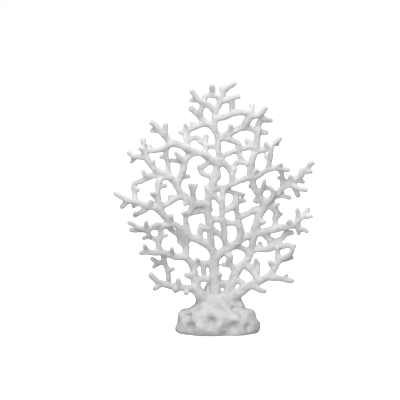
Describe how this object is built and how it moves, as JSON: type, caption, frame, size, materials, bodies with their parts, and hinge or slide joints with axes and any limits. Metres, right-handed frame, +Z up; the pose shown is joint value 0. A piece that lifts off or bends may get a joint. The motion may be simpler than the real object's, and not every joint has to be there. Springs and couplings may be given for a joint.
{
  "type": "branching coral",
  "caption": "White stony branching coral: an open fan of knobbly limbs on a lumpy flat-bottomed holdfast, standing on its foot.",
  "frame": {"origin": "middle of the flat underside of the holdfast", "axes": "+Z up along the colony's height, +X along the fan's width to the right as seen from the front, front faces -Y"},
  "size_m": [0.2355, 0.0616, 0.2998],
  "materials": {
    "coral_skeleton": "matte, finely granular dried calcium carbonate",
    "coral_foot": "matte, rough and pitted dried calcium carbonate"
  },
  "bodies": {
    "root": {"holdfast": "coral_foot", "trunk": "coral_skeleton", "left_stem": "coral_skeleton", "right_stem": "coral_skeleton", "left_low_arm": "coral_skeleton", "right_low_arm": "coral_skeleton", "left_middle_arm": "coral_skeleton", "left_upper_arm": "coral_skeleton", "left_crown_arm": "coral_skeleton", "right_upper_stem": "coral_skeleton", "right_middle_arm": "coral_skeleton", "right_outer_arm": "coral_skeleton", "crown_right": "coral_skeleton", "crown_left_loop": "coral_skeleton", "inner_mesh": "coral_skeleton"}
  },
  "joints": []
}
